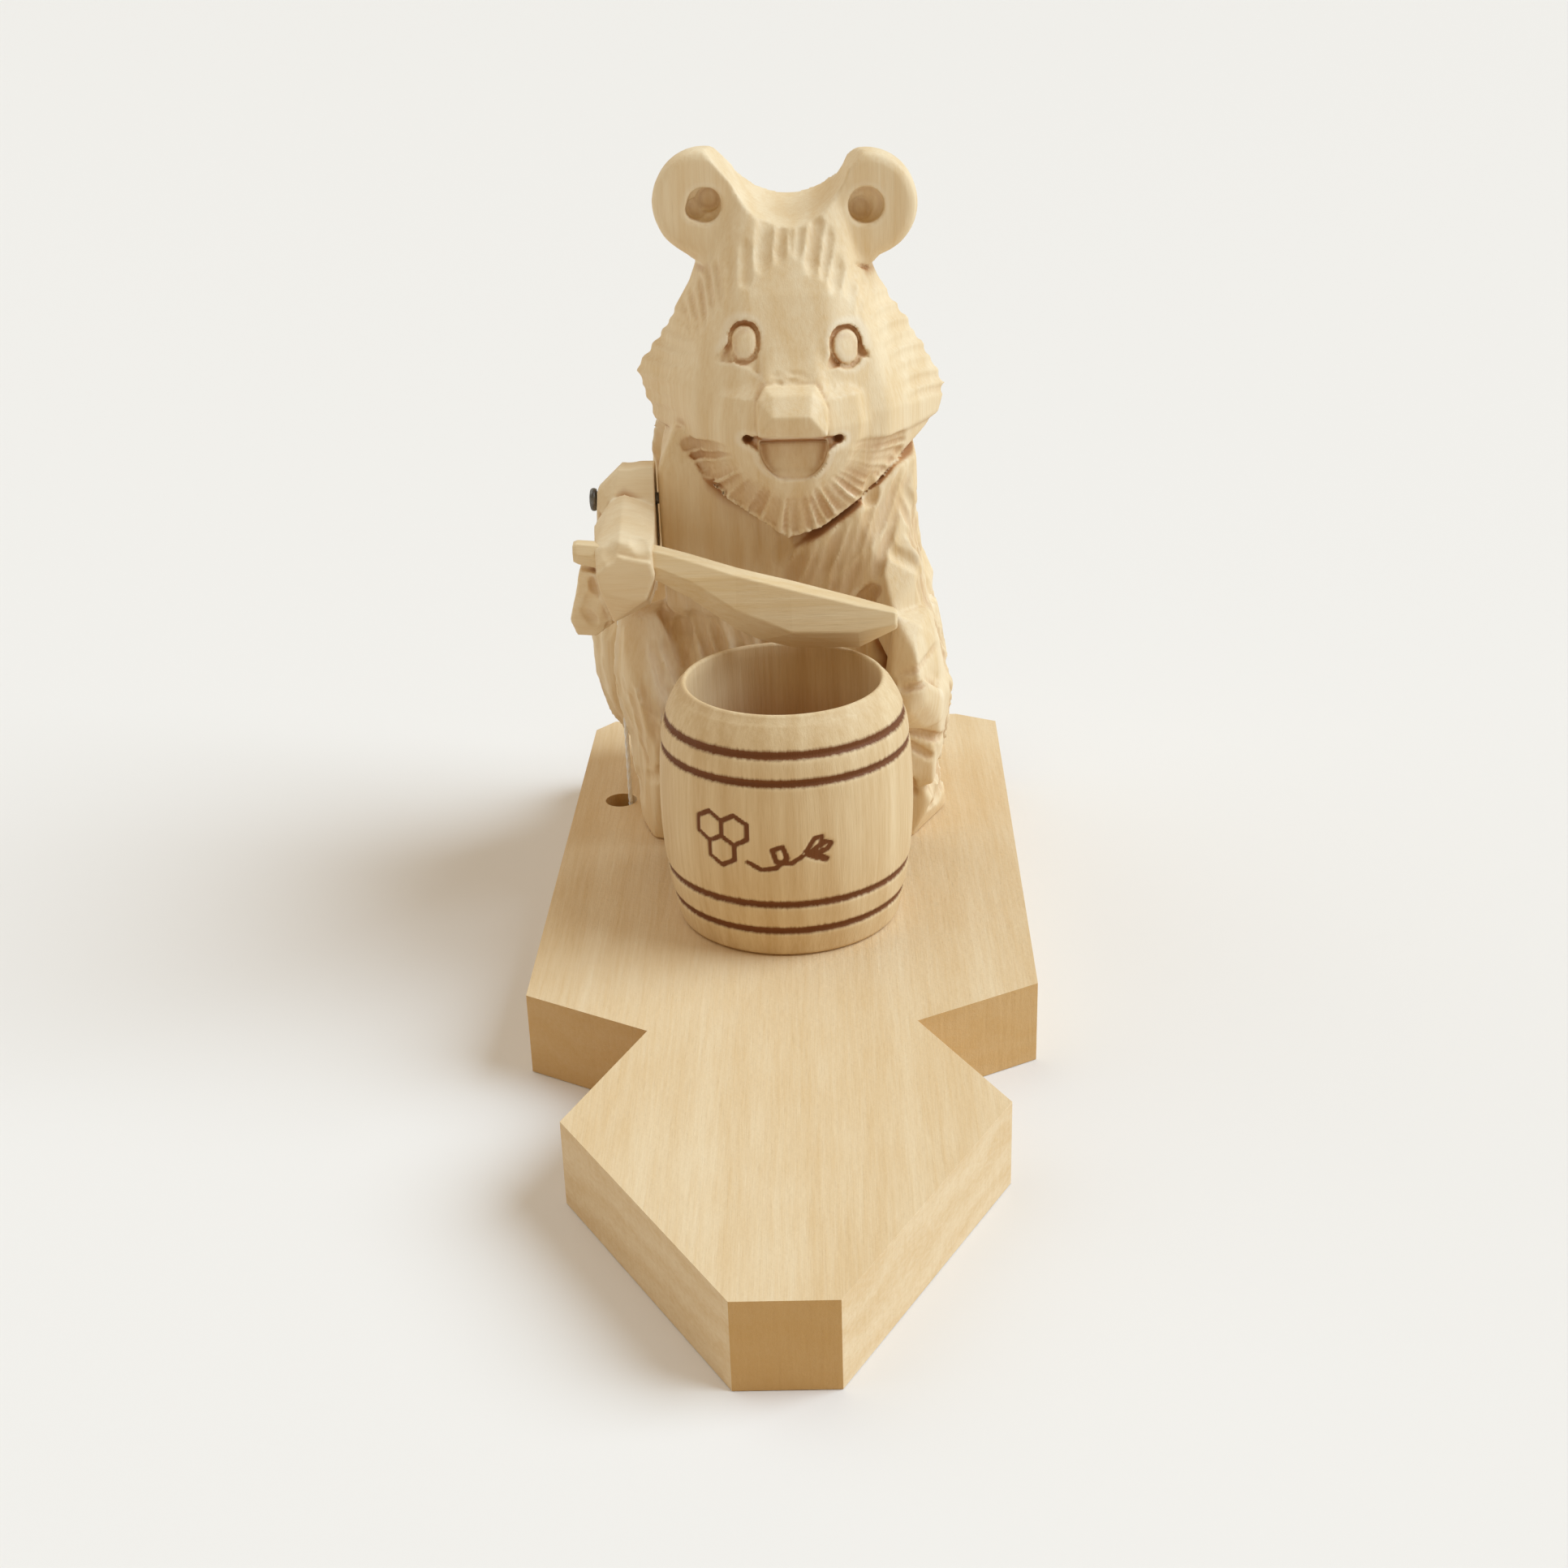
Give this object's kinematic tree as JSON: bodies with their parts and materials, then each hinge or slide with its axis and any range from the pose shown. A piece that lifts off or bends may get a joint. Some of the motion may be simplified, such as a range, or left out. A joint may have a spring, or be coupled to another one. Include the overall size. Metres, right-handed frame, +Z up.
{
  "type": "carved wooden bear figurine",
  "caption": "Carved linden bear on a paddle-shaped board dips a spoon in a turned barrel; a thread to a hanging ball lifts its arm.",
  "frame": {"origin": "on the board's underside, on its length axis, where the wide part of the board starts", "axes": "+Z up, +Y from the handle to the bear's back, +X to the viewer's right when the bear is seen from its front"},
  "size_m": [0.0845, 0.224, 0.1357],
  "materials": {
    "board_wood": "bare knife-cut linden, unvarnished, matt",
    "barrel_wood": "bare turned linden with burned rings, matt",
    "bear_wood": "bare knife-cut linden, unvarnished, matt",
    "arm_wood": "bare knife-cut linden, unvarnished, matt",
    "spoon_wood": "bare knife-cut linden, unvarnished, matt",
    "ball_wood": "bare turned linden, matt",
    "thread": "twisted cotton thread, matt",
    "nail_steel": "plain steel wire nail, dull and slightly dark"
  },
  "bodies": {
    "stand": {"base_board": "board_wood", "honey_barrel": "barrel_wood", "bear_body": "bear_wood", "shoulder_nail": "nail_steel", "barrel_nail": "nail_steel", "body_nail_front": "nail_steel", "body_nail_rear": "nail_steel", "thread_upper": "thread", "thread_lower": "thread"},
    "arm": {"right_arm": "arm_wood", "spoon": "spoon_wood", "arm_knot": "thread"},
    "weight": {"pendulum_ball": "ball_wood", "ball_knot": "thread"}
  },
  "joints": [
    {"name": "weight_pull", "type": "slide", "parent": "stand", "child": "weight", "axis": [0, 1, 0], "range_m": [0, 0.0078], "deforming": ["thread_lower"]},
    {"name": "arm_swing", "type": "hinge", "parent": "stand", "child": "arm", "pos_m": [-0.0264, 0.06, 0.0785], "axis": [-1, 0, 0], "range_deg": [0, 48], "deforming": ["thread_upper"]}
  ],
  "couplings": [
    {"joint": "arm_swing", "follows": "weight_pull", "rad_per_m": 107}
  ]
}
